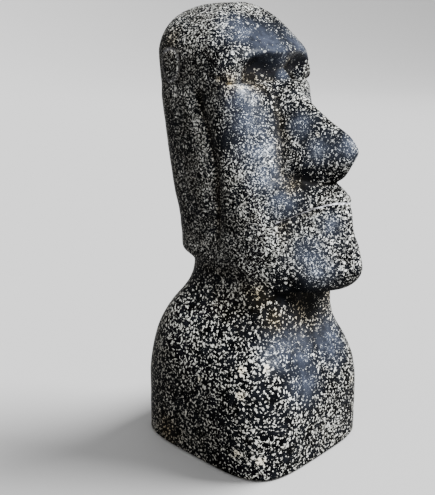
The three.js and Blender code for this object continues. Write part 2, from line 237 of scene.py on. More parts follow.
# %% [markdown]
# ## Cheeks, nose, mouth and chin
#
# The face is cut back from a keel. The nose is a long wedge with a narrow ridge, and its
# underside is one more facet that cuts the wedge off. The mouth and the chin share one
# keel whose sides slope back to the cheeks. The upper lip stands out a little over a line
# that falls towards the corners of the mouth. Each could be a mesh of its own, joined on
# afterwards. Here each is only how far it reaches forward, so the larger reach wins and
# the creases between them can be as tight or as soft as the chisel left them.

# %% Cheeks, nose, mouth and chin
NOSE_WIDTH = 35 * MM
MOUTH_STEP = 2 * MM
CHEEK = [
    (0.393, 0.187), (0.467, 0.19), (0.557, 0.165), (0.633, 0.14), (0.68, 0.13),
    (0.743, 0.11), (0.8, 0.085), (0.82, 0.073), (0.831, 0.062), (0.84, 0.02), (0.852, -0.05),
]
CHEEK_SQUARENESS = [(0.5, 3.5), (0.58, 3.2), (0.64, 2.5), (0.72, 2.2), (0.8, 2.8), (0.84, 3.8)]
NOSE_RIDGE = [
    (0.593, 0.067), (0.62, 0.15), (0.64, 0.22), (0.66, 0.246), (0.687, 0.267), (0.707, 0.272),
    (0.733, 0.256), (0.767, 0.195), (0.8, 0.145), (0.833, 0.106), (0.87, 0.068),
    (0.893, 0.033), (0.92, -0.2),
]
NOSE_HALF_WIDTH = [
    (0.627, 0.52), (0.66, 0.52), (0.69, 0.47), (0.743, 0.39), (0.8, 0.335), (0.853, 0.26),
    (0.893, 0.17),
]
NOSE_BLUNTNESS = [(0.633, 0.6), (0.66, 0.62), (0.7, 0.78), (0.75, 0.95), (0.853, 0.9)]
RIDGE_HALF_WIDTH = 0.013
RIDGE_ROUNDING = 0.01
NOSE_ROOT_DEPTH = 0.013
NOSE_SIDE_FALL = 4
NOSTRIL_HEIGHT = 0.642
NOSTRIL_REACH = 0.235
NOSTRIL_SLOPE = 0.6
NOSTRIL_FALL = 2.4
NOSTRIL_EDGE = 0.003
KEEL = [
    (0.393, 0.247), (0.42, 0.267), (0.467, 0.293), (0.507, 0.283), (0.547, 0.267),
    (0.597, 0.26), (0.617, 0.249), (0.637, 0.223), (0.66, 0.172), (0.717, 0.033), (0.75, -0.2),
]
KEEL_SLOPE = [
    (0.42, 1.2), (0.45, 1.28), (0.483, 1.32), (0.527, 1.25), (0.567, 1.2), (0.617, 1.25),
    (0.64, 1.45), (0.66, 1.8),
]
KEEL_EDGE = [(0.427, 0.027), (0.5, 0.022), (0.567, 0.013), (0.65, 0.012)]
KEEL_PULL = [(0.42, 6), (0.483, 9), (0.54, 15), (0.565, 12), (0.59, 6), (0.65, 6)]
KEEL_PULL_FROM = 0.055
LIP_PULL = [(0.55, 0), (0.59, 60)]
LIP_PULL_FROM = 0.095
LIP_SPREAD = 0.012
LIP_GROWTH, LIP_GROWTH_RANGE = 0.7, (0.02, 0.07)
LIP_FADE_RANGE = (0.1, 0.13)
MOUTH_LINE = [
    (0, 0.6025), (0.018, 0.603), (0.047, 0.595), (0.073, 0.58), (0.092, 0.562), (0.105, 0.559),
    (0.125, 0.568),
]


def beyond_ridge(side):
    """How far a point is beyond the narrow ridge of the nose, from none on its middle: a
    hyperbola that is flat on the ridge and straight beyond it."""
    past = side - RIDGE_HALF_WIDTH
    middle = math.hypot(RIDGE_HALF_WIDTH, RIDGE_ROUNDING) - RIDGE_HALF_WIDTH
    return (past + np.hypot(past, RIDGE_ROUNDING) - middle) / 2


def nose_reach(x, z):
    """A wedge that falls from the ridge to its foot near the cheek, then drops steeply. It
    is cut off by the underside, a facet that rises forward and falls back to both sides."""
    ridge = through(NOSE_RIDGE, z)
    root = np.minimum(through(CHEEK, z), ridge) - NOSE_ROOT_DEPTH
    side = beyond_ridge(np.abs(x))
    foot = beyond_ridge(through(NOSE_HALF_WIDTH, z) * NOSE_WIDTH)
    wedge = (1 - np.minimum(side / foot, 1)) ** through(NOSE_BLUNTNESS, z)
    flank = root + (ridge - root) * wedge - NOSE_SIDE_FALL * np.maximum(side - foot, 0)
    underside = NOSTRIL_REACH + NOSTRIL_SLOPE * (z - NOSTRIL_HEIGHT) - NOSTRIL_FALL * side
    return blend_min(flank, underside, NOSTRIL_EDGE)


def keel_reach(x, z):
    """A keel with an edge rounded as a hyperbola, sides that slope and pull in, and a
    step under the upper lip."""
    side = np.abs(x)
    edge = through(KEEL_EDGE, z)
    slope = through(KEEL_SLOPE, z) * (np.hypot(x, edge) - edge)
    pull = through(KEEL_PULL, z) * np.maximum(side - KEEL_PULL_FROM, 0) ** 2
    pull = pull + through(LIP_PULL, z) * np.maximum(side - LIP_PULL_FROM, 0) ** 2
    width = 1 + LIP_GROWTH * smoothstep(*LIP_GROWTH_RANGE, side)
    width = width * (1 - smoothstep(*LIP_FADE_RANGE, side))
    from_line = (z - through(MOUTH_LINE, side)) / LIP_SPREAD
    step = MOUTH_STEP * width * from_line / (1 + from_line**4)
    return through(KEEL, z) - slope - pull + step


print("nose tip and chin come forward by",
      np.round([nose_reach(0.0, np.array(0.707)), keel_reach(0.0, np.array(0.467))], 3))

# %% [markdown]
# ## The whole figure as one distance
#
# The side walls, the front, the back and the underside of the jaw meet in rounded corners.
# Low on each side of the head the long ear lobe stands out behind a shallow groove. The
# head is then joined to the torso with a soft nape. A union of two meshes would leave a
# hard crease there, and the smaller of two distances can be rounded like the real nape.

# %% The whole figure
EAR_GROOVE_DEPTH = 1.4 * MM
EAR_LOBE_RAISE = 1.0 * MM
SKULL_CORNER = 20 * MM
JAW_CORNER = 9 * MM
LOBE_EDGE = [
    (0.5, 0.01), (0.59, 0.017), (0.667, 0.01), (0.717, -0.003), (0.783, -0.027), (0.85, -0.06),
]
JAW_LINE = [
    (-0.2, 0.451), (-0.133, 0.451), (-0.067, 0.449), (0, 0.448), (0.067, 0.437),
    (0.117, 0.42), (0.167, 0.408), (0.233, 0.414), (0.3, 0.432),
]
LOBE_FADE_IN, LOBE_FADE_OUT = (0.49, 0.52), (0.8, 0.83)
LOBE_RISE_RANGE = (0.017, 0.05)
GROOVE_HALF_WIDTH = 0.0117
CROWN_FROM = 0.873
CROWN_SIDE_ROUNDING = 2.05
CROWN_BACK_ROUNDING = 3.3
FACE_TOP = 0.91
JAW_CORNER_RANGE = (0.467, 0.55)
CHEEK_BLEND, KEEL_BLEND, NOSE_BLEND = 0.005, 0.0133, 0.0067
JAW_BLEND, NAPE_BLEND = 0.02, 0.0167


def ear_relief(f, z):
    """The lobe rises behind its edge, and a bell-shaped groove runs along the edge."""
    fade = smoothstep(*LOBE_FADE_IN, z) * (1 - smoothstep(*LOBE_FADE_OUT, z))
    behind = through(LOBE_EDGE, z) - f
    lobe = EAR_LOBE_RAISE * smoothstep(*LOBE_RISE_RANGE, behind)
    return fade * (lobe - EAR_GROOVE_DEPTH * bell(behind / GROOVE_HALF_WIDTH))


def head_distance(x, f, z):
    """The larger of the distances from the side walls, the face, the back of the skull
    and the underside of the jaw."""
    top = np.minimum(z, 1 - 1e-9)
    rise = np.maximum((top - CROWN_FROM) / (1 - CROWN_FROM), 0)
    side_close = (1 - rise**CROWN_SIDE_ROUNDING) ** (1 / CROWN_SIDE_ROUNDING)
    back_close = (1 - rise**CROWN_BACK_ROUNDING) ** (1 / CROWN_BACK_ROUNDING)
    centre = through(CROWN_CENTRE, top)
    half_width = (JAW_WIDTH + (BROW_WIDTH - JAW_WIDTH) * through(WIDTH_OF_HEAD, top)) / 2
    half_width = half_width * side_close
    back = centre + (through(SKULL_BACK, top) - centre) * back_close
    side_share = np.minimum(np.abs(x) / np.maximum(half_width, 1e-9), 1)
    wall = np.abs(x) - half_width - ear_relief(f, top)

    reach = brow_reach(x, top, side_share)
    cheek = rounded(through(CHEEK, top), 0, side_share, through(CHEEK_SQUARENESS, top))
    face = blend_max(reach, cheek, CHEEK_BLEND)
    face = blend_max(face, keel_reach(x, top), KEEL_BLEND)
    face = blend_max(face, nose_reach(x, top), NOSE_BLEND)
    reach = np.where(top < FACE_TOP, face, reach)

    cheek_corner = JAW_CORNER * (1 - smoothstep(*JAW_CORNER_RANGE, top))
    skull_corner = SKULL_CORNER * np.minimum(side_close, back_close)
    front = corner_max(wall, f - reach, cheek_corner)
    rear = corner_max(wall, back - f, skull_corner)
    head = blend_max(np.maximum(front, rear), through(JAW_LINE, f) - z, JAW_BLEND)
    return np.where(z >= 1, 1.0, head)


def wood_distance(x, f, z):
    """Head and torso joined with a soft nape."""
    return blend_min(head_distance(x, f, z), torso_distance(x, f, z), NAPE_BLEND)


print("middle of the head is inside:", wood_distance(0.0, 0.0, np.array(0.7)) < 0)

# %% [markdown]
# ## From a distance to a skin
#
# A distance can be turned into a mesh by voxels, but voxels blur the crisp brow. This
# figure is simpler: seen from a line up its middle every point of its skin is in plain
# sight. So rays leave that spine, level ones up to the brow and fanned ones over the
# crown, and each ray is halved again and again until it stops at the skin. That gives a
# tidy grid of rows and columns. Both are closer together on the face.

# %% Rays and skin
ROWS = 352
COLUMNS = 280
FACE_CROWDING = 0.5
EDGE_ROWS = 4
PROFILES = ((0.0, 0.4), (0.35, 0.4), (0.7, 0.2))
ROW_CROWDING = [(0.3, 0.35), (0.4, 1), (0.9, 1), (0.96, 0.5)]
ROW_EVENNESS = 0.1
HALVINGS = 30
RAY_LIMIT = 0.5
SPINE_LOW, SPINE_LEAN = -0.013, -0.034
SPINE_RANGE = (0.4, 0.833)
FAN_HEIGHT = 0.833
CREST = [
    (0, 0.46), (0.2, 0.463), (0.36, 0.466), (0.45, 0.458), (0.534, 0.439), (0.616, 0.413),
    (0.694, 0.378), (0.769, 0.327), (0.843, 0.244), (0.881, 0.177), (0.925, 0.09),
    (1.1, 0.14), (1.5, 0.3),
]


def fanned(elevation, angle):
    """Elevation squeezed so that the ray which meets the crest of the brow straight ahead
    meets it at every other angle too."""
    ahead = CREST[0][1]
    crest = through(CREST, np.minimum(angle, 2 * np.pi - angle))
    above = np.pi / 2 - (np.pi / 2 - elevation) * (np.pi / 2 - crest) / (np.pi / 2 - ahead)
    return np.where(elevation < ahead, elevation * crest / ahead, above)


def skin(height, elevation, angle):
    """Halve the stretch of each ray in which it leaves the wood, many times over."""
    start = SPINE_LOW + SPINE_LEAN * smoothstep(*SPINE_RANGE, height)
    lift = fanned(elevation, angle)
    across, ahead, up = np.sin(angle) * np.cos(lift), np.cos(angle) * np.cos(lift), np.sin(lift)
    near = np.zeros(np.broadcast(height, angle).shape)
    far = near + RAY_LIMIT
    for _ in range(HALVINGS):
        middle = (near + far) / 2
        inside = wood_distance(middle * across, start + middle * ahead, height + middle * up) < 0
        near = np.where(inside, middle, near)
        far = np.where(inside, far, middle)
    return np.stack([near * across, -(start + near * ahead), height + near * up], axis=-1)


def rays_of_rows():
    """Rows at even steps along the profile. Its length is the weighted mean over three
    angles of the face, counted less where the rows may lie further apart."""
    levels = np.linspace(0, FAN_HEIGHT, 1601)
    fans = np.linspace(0, np.pi / 2, 800, endpoint=False)[1:]
    height = np.concatenate([levels, np.full(fans.shape, FAN_HEIGHT)])
    elevation = np.concatenate([np.zeros(levels.shape), fans])
    length = 0
    for angle, weight in PROFILES:
        profile = skin(height, elevation, np.full(height.shape, angle))
        step = np.linalg.norm(np.diff(profile, axis=0), axis=1)
        length = length + weight * step * through(ROW_CROWDING, profile[1:, 2])
    length = np.concatenate([[0], np.cumsum(length + ROW_EVENNESS * length.mean())])
    edge_rows = np.linspace(0, BASE_EDGE, EDGE_ROWS)
    wanted = np.linspace(0, length[-1], ROWS - EDGE_ROWS + 1)[1:-1]
    at = np.interp(wanted, length, np.arange(len(length)))
    rows = np.interp(at, np.arange(len(height)), height)
    lifts = np.interp(at, np.arange(len(height)), elevation)
    above_edge = rows > BASE_EDGE * 1.5
    rows = np.concatenate([edge_rows, rows[above_edge]])
    return rows, np.concatenate([edge_rows * 0, lifts[above_edge]])


row_height, row_lift = rays_of_rows()
turn = np.arange(COLUMNS) * 2 * np.pi / COLUMNS
column_angle = turn - FACE_CROWDING * np.sin(turn)
wood = skin(row_height[:, None], row_lift[:, None], column_angle[None, :])
crown = skin(np.array([FAN_HEIGHT]), np.array([np.pi / 2]), np.array([0.0]))[0]
print("grid of rows, columns:", wood.shape[:2])

# %% [markdown]
# ## Cut marks: mouth line, ear rings and an uneven hand
#
# A knife line runs along the mouth. Two oval rings, one in the other, are cut into each
# side of the head where an ear begins, and a short groove runs back beside each eye. The
# rest of the wood was sanded by hand, so it is never quite flat. Sculpting could add that,
# but a lattice of random heights, smoothly filled in, gives the same unevenness every time.
# The marks push each point along its own normal.

# %% Unevenness and cut marks
LARGEST = 0x7FFFFFFF
CELL_FACTORS = np.array([73856093, 19349663, 83492791])
SEED_FACTOR = 2654435
SANDING = ((0.34, 26, 5), (0.16, 9, 7), (0.06, 3.2, 11))
MOUTH_CUT, MOUTH_HALF_WIDTH, MOUTH_WAVER = 0.8 * MM, 0.9 * MM, 0.5 * MM
RING_CUT, INNER_RING_CUT = 0.7 * MM, 0.35 * MM
RING_FORWARD, RING_HEIGHT = -0.1257, 0.87
RING_HALF_WIDTH, RING_HALF_HEIGHT = 0.0293, 0.0333
TEMPLE_CUT, TEMPLE_HALF_WIDTH = 0.9 * MM, 1.5 * MM
TEMPLE_FORWARD, TEMPLE_HEIGHT, TEMPLE_SLOPE = -0.0113, 0.8527, 0.25


def unevenness(points, size, seed):
    """Random heights from -1 to 1 on a lattice with cells of this size in millimetres,
    filled in between with S-curves along x, y and z. Each height is worked out from the
    cell's place and the seed, mixed by large factors, so every run gives the same."""
    at = points / (size * MM)
    cell = np.floor(at).astype(np.int64)
    t = at - cell
    t = t * t * (3 - 2 * t)
    total = 0
    for corner in np.ndindex(2, 2, 2):
        key = (cell + np.array(corner)) * CELL_FACTORS
        mixed = np.bitwise_xor.reduce(key, axis=-1) ^ seed * SEED_FACTOR
        mixed = (mixed * 1103515245 + 12345) & LARGEST
        mixed = ((mixed >> 7) ^ mixed) * 48271 & LARGEST
        share = np.prod(np.where(corner, t, 1 - t), axis=-1)
        total = total + share * (mixed / (LARGEST // 2) - 1)
    return total


def normals_of(grid):
    """Cross product of the steps to the neighbouring columns and rows, made unit length."""
    round_step = np.roll(grid, -1, axis=1) - np.roll(grid, 1, axis=1)
    up_step = np.gradient(grid, axis=0)
    normal = np.cross(round_step, up_step)
    return normal / np.maximum(np.linalg.norm(normal, axis=-1, keepdims=True), 1e-12)


def cut_marks(points):
    """Heights in shares of the figure's: the unevenness of a sanded surface, less the
    bell-shaped grooves of the mouth line, the rings and the cuts beside the eyes."""
    x, f, z = points[..., 0], -points[..., 1], points[..., 2]
    side = np.abs(x)
    waver = MOUTH_WAVER * unevenness(points, 6, 3)
    from_line = (z - through(MOUTH_LINE, side) + waver) / MOUTH_HALF_WIDTH
    along = (1 - smoothstep(0.09, 0.1, side)) * smoothstep(0.1, 0.14, f)
    mouth = MOUTH_CUT * along * bell(from_line)

    oval = np.hypot((f - RING_FORWARD) / RING_HALF_WIDTH, (z - RING_HEIGHT) / RING_HALF_HEIGHT)
    flat_side = smoothstep(0.11, 0.125, side)
    ring = RING_CUT * flat_side * bell((oval - 1) / 0.1)
    inner_ring = INNER_RING_CUT * flat_side * bell((oval - 0.45) / 0.14)

    from_temple = z - TEMPLE_HEIGHT + TEMPLE_SLOPE * (f - TEMPLE_FORWARD)
    beside_eye = smoothstep(-0.02, -0.005, f) * (1 - smoothstep(0.03, 0.045, f))
    temple = TEMPLE_CUT * smoothstep(0.115, 0.13, side) * beside_eye
    temple = temple * bell(from_temple / TEMPLE_HALF_WIDTH)

    sanded = sum(height * unevenness(points, size, seed) for height, size, seed in SANDING)
    marks = sanded * MM - mouth - ring - inner_ring - temple
    return marks * smoothstep(0, 0.012, z)


marks = cut_marks(wood)
carved = wood + normals_of(wood) * marks[..., None]
print("deepest and highest mark in mm:", np.round([marks.min() / MM, marks.max() / MM], 2))

# %% [markdown]
# ## Where paint gathers, where it wears, and where shade and sheen are painted
#
# Ochre dirt gathers in the hollows, and hands polish what stands out. The hollows follow the
# shape, so they are worked out from it: the grid is let settle, each point moving to the
# middle of its neighbours many times over, and how far the settled skin lies outside the
# carved one tells how hollow a place is. The places of painted shade (the sockets, the
# undersides of the nose and the jaw, the forehead), the polished places, which also get a
# painted sheen, and the stained and blotched places are soft balls around a few points, and
# the mouth is a height above its line. All are stored on the mesh's points.

# %% Hollows, polish and stains
def settled(grid, times):
    """Each point moved to the average of itself and its four neighbours, times over."""
    for _ in range(times):
        up = np.concatenate([grid[1:], grid[-1:]])
        down = np.concatenate([grid[:1], grid[:-1]])
        grid = (grid + up + down + np.roll(grid, 1, axis=1) + np.roll(grid, -1, axis=1)) / 5
    return grid


def soft_balls(grid, balls):
    """The largest of some bell shapes, each with a centre and a radius in millimetres."""
    total = np.zeros(grid.shape[:2])
    for x, f, z, radius in balls:
        away = np.linalg.norm(grid - np.array([x, -f, z]) * MM, axis=-1) / (radius * MM)
        total = np.maximum(total, bell(away))
    return total


def settled_out(times):
    """How far the skin that settled this many times lies outside, in millimetres."""
    return np.sum((settled(carved, times) - carved) * normals_of(carved), axis=-1) / MM


hollow = np.clip(settled_out(90) / 0.9, 0, 1) + 0.4 * np.clip(settled_out(500) / 5, 0, 1)

# Polished places; they also get a painted blue-grey sheen, a painted reflection of the sky.
POLISHED_AND_SHEEN_BALLS = [
    (-10, 20, 275, 15), (-22, 8, 283, 12), (-33, 18, 242, 10), (-32, 24, 228, 12),
    (-30, 29, 212, 12), (-28, 35, 196, 10), (-3, 24, 256, 4), (-3, 76, 215, 8),
    (-27, 46, 180, 9), (-20, 63, 150, 9), (-18, 69, 140, 9), (-29, 49, 84, 12), (-24, 52, 88, 9),
    (-12, 53, 80, 14), (19, 54, 78, 15), (30, 24, 222, 12), (20, 20, 275, 12),
    (-15, 57, 60, 13), (-9, 60, 213, 8), (-9, 45, 226, 7), (-12, 72, 168, 7),
]
# Places of painted shade: fewer flecks in the sockets, under the nose and jaw, on the forehead.
PAINTED_SHADE_BALLS = [
    (-20, 14, 262, 11), (20, 14, 262, 11), (-31, 8, 259, 8), (31, 8, 259, 8), (-8, 20, 262, 6),
    (8, 20, 262, 6), (-12, 54, 195, 9), (12, 54, 195, 9), (0, 68, 196, 8), (-24, 50, 122, 12),
    (0, 62, 124, 16), (24, 50, 122, 12), (-14, 30, 225, 5), (14, 30, 225, 5),
    (-13, 26, 241, 6), (13, 26, 241, 6), (-10, 20, 279, 16), (12, 20, 279, 14),
    (-38, 8, 215, 8), (-38, 6, 260, 9), (38, 6, 260, 9),
]
STAINED = [
    (-39, 13, 252, 6), (-37, 35, 119, 9), (-30, 45, 103, 9), (-8, 48, 109, 10),
    (-61, -24, 10, 10), (-39, -39, 276, 6), (-20, 17, 250, 8), (-21, 48, 190, 6),
    (6, 20, 262, 7), (25, 42, 108, 10), (40, -20, 120, 9), (10, -45, 128, 12), (61, 10, 9, 12),
]
BLOTCHED = [
    (-52, 36, 73, 3.2), (-41.5, 48.5, 75.5, 3), (-56, 40, 59, 3.6), (-7, 57, 221, 2),
    (-40, 5, 253.5, 2.2), (-38, 12, 251.5, 2.4), (-33, 17, 250, 2.4), (-28, 20, 249.5, 2.2),
    (-59.5, 40, 18, 3.4), (-52, 54, 16, 3.6), (-60, 5, 60, 2.5), (38, 62, 44, 3),
    (-20, -58, 60, 3.4), (45, -20, 90, 3), (30, -48, 200, 3), (60, 15, 30, 3.2),
]
fields = {
    "hollow": hollow,
    "polish_and_painted_sheen": soft_balls(carved, POLISHED_AND_SHEEN_BALLS),
    "stain": soft_balls(carved, STAINED),
    "blotch": soft_balls(carved, BLOTCHED),
    "painted_shade": soft_balls(carved, PAINTED_SHADE_BALLS),
    "mouth": (carved[..., 2] - through(MOUTH_LINE, np.abs(carved[..., 0]))) / MM,
}
print("share of hollow, polished, shade_painted skin:",
      [round(float((fields[name] > 0.3).mean()), 3) for name in ("hollow", "polish_and_painted_sheen", "painted_shade")])

# %% [markdown]
# ## The skin as a mesh
#
# The wood has one closed skin, so the mesh gets one too: quads between neighbouring rows
# and columns, and a fan of triangles at each end. Edges sharper than 60 degrees, such as
# the rim of the base, stay crisp under smooth shading. The finished mesh stands in for the
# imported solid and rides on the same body.

# %% Put the skin into a mesh
def smooth_piece(name, points, quads, triangles):
    """An object at the origin whose mesh has these points and faces, shaded smooth."""
    mesh = bpy.data.meshes.new(name)
    mesh.from_pydata(points.tolist(), [], quads.tolist() + triangles.tolist())
    mesh.polygons.foreach_set("use_smooth", np.ones(len(mesh.polygons), dtype=bool))
    piece = bpy.data.objects.new(name, mesh)
    bpy.context.scene.collection.objects.link(piece)
    return piece


def closed_piece(name, grid, top, fields):
    """Quads between neighbouring rows and columns, a fan on the flat underside and a fan
    at the crown. The fields are stored on the points: 0 at the middle of the underside,
    and at the top of the crown the mean of the last row."""
    rows, columns = grid.shape[:2]
    points = np.concatenate([grid.reshape(-1, 3), [[0, 0, 0]], [top]]) * HEIGHT
    sole, crown_point = rows * columns, rows * columns + 1
    number = np.arange(rows * columns).reshape(rows, columns)
    beside = np.roll(number, -1, axis=1)
    quads = [number[:-1], beside[:-1], beside[1:], number[1:]]
    quads = np.stack(quads, axis=-1).reshape(-1, 4)
    under = np.stack([np.full(columns, sole), beside[0], number[0]], axis=-1)
    over = np.stack([number[-1], beside[-1], np.full(columns, crown_point)], axis=-1)
    piece = smooth_piece(name, points, quads, np.concatenate([under, over]))
    piece.data.set_sharp_from_angle(angle=math.radians(60))
    for field, values in fields.items():
        stored = piece.data.attributes.new(field, "FLOAT", "POINT")
        values = np.append(values.ravel(), [0, values[-1].mean()])
        stored.data.foreach_set("value", values.astype(np.float32))
    return piece


statue = closed_piece("carved_statue", carved, crown, fields)
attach(statue, "root")
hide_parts("moai_statue")
print("faces:", len(statue.data.polygons))

# %% [markdown]
# ## A small language for paint
#
# A material is a sum of simple layers: thresholded noise, products and mixes. Written as
# nodes that sum takes pages, so one small class wraps a socket and turns Python's own
# operators into Math nodes. Every other node is made by one method that takes its type,
# its settings and its sockets.

# %% Sockets as numbers
class Level:
    """A socket that holds one number per point. Arithmetic on it adds Math nodes."""

    def __init__(self, paint, socket):
        self.paint, self.socket = paint, socket

    def maths(self, operation, *others, clamp=False):
        settings = {"operation": operation, "use_clamp": clamp}
        return self.paint.add("ShaderNodeMath", settings, dict(enumerate((self, *others))))

    def output(self, name):
        """Another output of the node that this socket belongs to."""
        return Level(self.paint, self.socket.node.outputs[name])

    def __add__(self, other):
        return self.maths("ADD", other)

    __radd__ = __add__

    def __sub__(self, other):
        return self.maths("SUBTRACT", other)

    def __rsub__(self, other):
        return (self * -1) + other

    def __mul__(self, other):
        return self.maths("MULTIPLY", other)

    __rmul__ = __mul__

    def __truediv__(self, other):
        return self.maths("DIVIDE", other)

    def larger(self, other):
        return self.maths("MAXIMUM", other)

    def size(self):
        return self.maths("ABSOLUTE")

    def kept(self):
        """The number, kept between 0 and 1."""
        return self.maths("ADD", 0.0, clamp=True)

    def rise(self, start, end):
        """0 up to start, 1 from end on, S-shaped between them."""
        return self.paint.add(
            "ShaderNodeMapRange", {"interpolation_type": "SMOOTHSTEP"},
            {"Value": self, "From Min": start, "From Max": end},
        )


class Paint:
    """The node tree of one material."""

    def __init__(self, name):
        self.material = bpy.data.materials.new(name)
        self.material.use_nodes = True
        self.tree = self.material.node_tree
        self.tree.nodes.clear()

    def add(self, kind, settings=None, sockets=None, out=0):
        """Add a node: its settings first, then a value or a link for each socket."""
        node = self.tree.nodes.new(kind)
        for name, value in (settings or {}).items():
            setattr(node, name, value)
        for name, value in (sockets or {}).items():
            if isinstance(value, Level):
                self.tree.links.new(value.socket, node.inputs[name])
            else:
                node.inputs[name].default_value = value
        return Level(self, node.outputs[out]) if node.outputs else None

    def noise(self, place, size, detail=2.0, roughness=0.55, out=0):
        """Noise whose features are about this many millimetres wide."""
        settings = {"noise_dimensions": "3D"}
        sockets = {"Vector": place, "Scale": 1 / size, "Detail": detail, "Roughness": roughness}
        return self.add("ShaderNodeTexNoise", settings, sockets, out)

    def vector(self, operation, *values, out=0, scale=None):
        sockets = dict(enumerate(values))
        if scale is not None:
            sockets["Scale"] = scale
        return self.add("ShaderNodeVectorMath", {"operation": operation}, sockets, out)

    def mix(self, share, first, second):
        """From the first colour to the second."""
        settings = {"data_type": "RGBA"}
        return self.add("ShaderNodeMix", settings, {0: share, 6: first, 7: second}, 2)

    def field(self, name):
        return self.add("ShaderNodeAttribute", {"attribute_name": name}, out="Fac")


painted = Paint("painted_wood")
place = painted.vector("SCALE", painted.add("ShaderNodeTexCoord", out="Object"), scale=1000.0)
sideways = painted.add("ShaderNodeSeparateXYZ", {}, {"Vector": place})
across = sideways.size()
forward = sideways.output("Y") * -1
upward = sideways.output("Z")
hollows, polished_and_sheen, stains, blotches, painted_shades = [
    painted.field(name) for name in ("hollow", "polish_and_painted_sheen", "stain", "blotch", "painted_shade")
]
print("nodes so far:", len(painted.tree.nodes))

# %% [markdown]
# ## Cream flecks on black
#
# The flecks were dabbed on with a nearly dry brush or sponge. They are 1 to 2.5 mm across,
# shaped like crumbs and short worms, coarser on the torso, and cover about a third of the
# wood. A noise that is cut off at a height gives such islands: the height sets how much is
# covered. So what lowers the noise thins the flecks there. The balls of painted shade and
# the hollows lower it, which paints shade into the sockets, the undersides and the creases,
# and a slow drift crowds the flecks here and parts them there. Where hands have polished
# the paint a finer noise takes over, which leaves only dust. A few round dabs are left by
# the end of the brush, and a few broken blots by a second touch.

# %% Flecks
WANDER = 3.0
FINE_SIZE, COARSE_SIZE, DUST_SIZE = 1.2, 1.7, 0.7
DABS_PER_MM = 0.34
TORSO_RANGE = (95.0, 150.0)
FLECK_RANGE = (0.545, 0.59)
BLOT_RANGE = (0.62, 0.85)

shake = painted.noise(place, 5.0, 1.0, out="Color")
shake = painted.vector("SUBTRACT", shake, (0.5, 0.5, 0.5))
drifted = painted.vector("ADD", place, painted.vector("SCALE", shake, scale=WANDER))
coarser = 1 - upward.rise(*TORSO_RANGE)
crumbs = painted.noise(drifted, FINE_SIZE, 3.0, 0.64) * (1 - coarser)
crumbs = crumbs + painted.noise(drifted, COARSE_SIZE, 2.5, 0.6) * coarser
dust = painted.noise(place, DUST_SIZE, 2.0, 0.6)
mottle = painted.noise(place, 6.0, 3.0, 0.6).rise(0.3, 0.65)
polished_and_sheen = polished_and_sheen * (mottle * 0.6 + 0.4)
drifts = painted.noise(place, 22.0, 2.0, 0.5)
finer = polished_and_sheen * 0.9
level = crumbs * (1 - finer) + dust * finer + (drifts - 0.5) * 0.16 + blotches * 0.12
# Painted shade: the painted-shade balls and the hollows thin the flecks, so those read darker.
level = level - polished_and_sheen * 0.015 - painted_shades * 0.075 - hollows.rise(0.2, 1.0) * 0.03
level = level - coarser * 0.022
fleck = level.rise(*FLECK_RANGE)

from_dab = painted.add(
    "ShaderNodeTexVoronoi", {"feature": "F1"}, {"Vector": drifted, "Scale": DABS_PER_MM},
)
chance = painted.add("ShaderNodeSeparateColor", {}, {"Color": from_dab.output("Color")})
dab = (chance * 0.42 - 0.06 - from_dab).rise(0.0, 0.06) * (1 - polished_and_sheen).kept()
blot = (blotches + (crumbs - 0.5) * 3.2).rise(*BLOT_RANGE)
thickness = painted.noise(drifted, 1.7, 1.0).rise(0.3, 0.7) * 0.85 + 0.15
cream_cover = (fleck * thickness).larger(dab * (1 - finer) * 0.55).larger(blot * 0.8)
print("nodes so far:", len(painted.tree.nodes))

# %% [markdown]
# ## Paint in the cuts, and a painted highlight along the mouth
#
# The pale band along the mouth is cream caught in the knife line together with a painted
# highlight along the edge of the upper lip, and it makes the mouth readable from afar. Traces
# of cream lie in the ring of each ear. Both could be thin meshes laid on the wood, which
# would lift off or sink in. As a band around the height that is stored on the points, the
# mouth follows its cut, and it breaks up where the crumbs are low. The ring is an ellipse in
# side view.

# %% Mouth line in cream with a painted highlight, ear rings in cream
MOUTH_BAND_RANGE = (0.2, 0.8)
MOUTH_ENDS = (27.5, 30.0)
MOUTH_FRONT = (34.0, 38.0)
FLAT_SIDE_RANGE = (34.0, 37.0)

waver = (painted.noise(place, 6.0, 1.0) - 0.5) * 1.4
from_mouth = (painted.field("mouth") + waver).size()
# Cream in the mouth cut and a painted highlight along the edge of the upper lip.
mouth_ink_and_highlight = (1 - from_mouth.rise(*MOUTH_BAND_RANGE)) * (crumbs.rise(0.42, 0.56) * 0.7 + 0.3)
mouth_ink_and_highlight = mouth_ink_and_highlight * (1 - across.rise(*MOUTH_ENDS)) * forward.rise(*MOUTH_FRONT)
ring_place = painted.add("ShaderNodeCombineXYZ", {}, {
    "X": (forward - RING_FORWARD / MM) / (RING_HALF_WIDTH / MM),
    "Y": (upward - RING_HEIGHT / MM) / (RING_HALF_HEIGHT / MM),
})
from_ring = (painted.vector("LENGTH", ring_place, out="Value") - 1).size()
ring_ink = 1 - (from_ring + (dust - 0.5) * 0.3).rise(0.05, 0.16)
ink_and_highlight = mouth_ink_and_highlight.larger(ring_ink * across.rise(*FLAT_SIDE_RANGE) * 0.12)
print("mouth height in mm:", round(MOUTH_LINE[0][1] / MM, 1))

# %% [markdown]
# ## Colours and gloss
#
# Under the flecks the black is bluish and half glossy. On the polished places a painted
# sheen, a painted reflection of the sky, turns the black a greyer blue and the cream bluer.
# The cream is greyer on the torso, and ochre dirt lies in the recesses under the
# brow, the nose and the jaw. The flecks are matt and stand a little proud, so they also
# feed the bump and the roughness. One painted image could hold all this, but mixed from
# the layers above each colour is one named value, and the paint has no seam.

